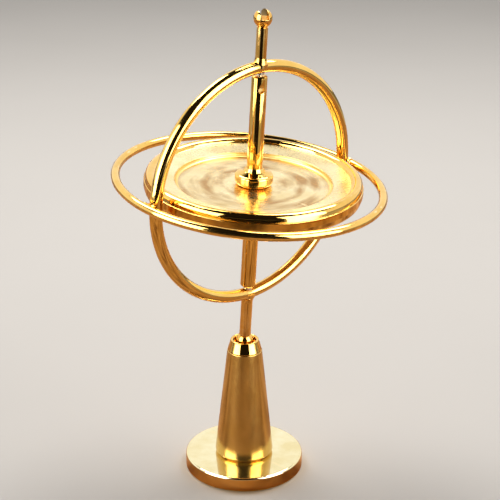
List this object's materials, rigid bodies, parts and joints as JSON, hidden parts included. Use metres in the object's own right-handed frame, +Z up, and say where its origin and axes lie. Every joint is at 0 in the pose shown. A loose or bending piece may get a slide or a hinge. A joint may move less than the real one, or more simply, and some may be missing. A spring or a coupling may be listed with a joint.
{
  "type": "spinning top",
  "caption": "Pull-string gyroscope top: a heavy rotor on a pointed axle inside two crossed wire rings, with ball-ended posts, leaning on a conical pedestal with a cup.",
  "frame": {"origin": "centre of the pedestal's flat underside, on the surface that it stands on", "axes": "+Z up; +X to the right and -Y towards the viewer in the usual view, with the gyroscope leaning to the front right"},
  "size_m": [0.0647, 0.0649, 0.117],
  "materials": {
    "ring_gold": "mirror-polished gold plating",
    "post_gold": "mirror-polished gold plating, darker",
    "hub_gold": "mirror-polished gold plating",
    "axle_gold": "polished gold plating with fine turning lines",
    "rotor_gold": "gold plating: satin turned face, polished round bead, ledge and web",
    "base_gold": "polished gold plating with fine turning lines",
    "cup_gold": "mirror-polished gold plating",
    "satin_gold": "satin gold plating",
    "solder_gold": "gold plating over solder",
    "hard_steel": "hardened, ground"
  },
  "bodies": {
    "stand": {"base_disc": "base_gold", "stand_cone": "satin_gold", "stand_stud": "hard_steel"},
    "cup": {"stand_cup": "cup_gold"},
    "pivot_ball": {"lower_ball": "post_gold"},
    "frame": {"lower_post": "post_gold", "frame_ring": "ring_gold", "outer_ring": "ring_gold", "front_ring_joint": "solder_gold", "rear_ring_joint": "solder_gold", "upper_post": "post_gold", "top_ball": "post_gold", "upper_bearing": "hard_steel", "lower_bearing": "hard_steel"},
    "rotor": {"axle": "axle_gold", "upper_pivot": "hard_steel", "lower_pivot": "hard_steel", "rotor_disc": "rotor_gold", "upper_hub_collar": "hub_gold", "lower_hub_collar": "hub_gold"}
  },
  "joints": [
    {"name": "precession", "type": "hinge", "parent": "stand", "child": "cup", "pos_m": [0, 0, 0.0342], "axis": [0, 0, 1], "continuous": true},
    {"name": "lift_off", "type": "slide", "parent": "cup", "child": "pivot_ball", "axis": [0, 0, 1], "range_m": [0, 0.03]},
    {"name": "lean", "type": "hinge", "parent": "pivot_ball", "child": "frame", "pos_m": [0, 0, 0.0342], "axis": [0.766, 0.6428, 0], "range_deg": [-48, 40]},
    {"name": "rotor_spin", "type": "hinge", "parent": "frame", "child": "rotor", "pos_m": [0.00185, -0.00221, 0.0754], "axis": [0.0448, -0.0534, 0.9976], "continuous": true}
  ]
}
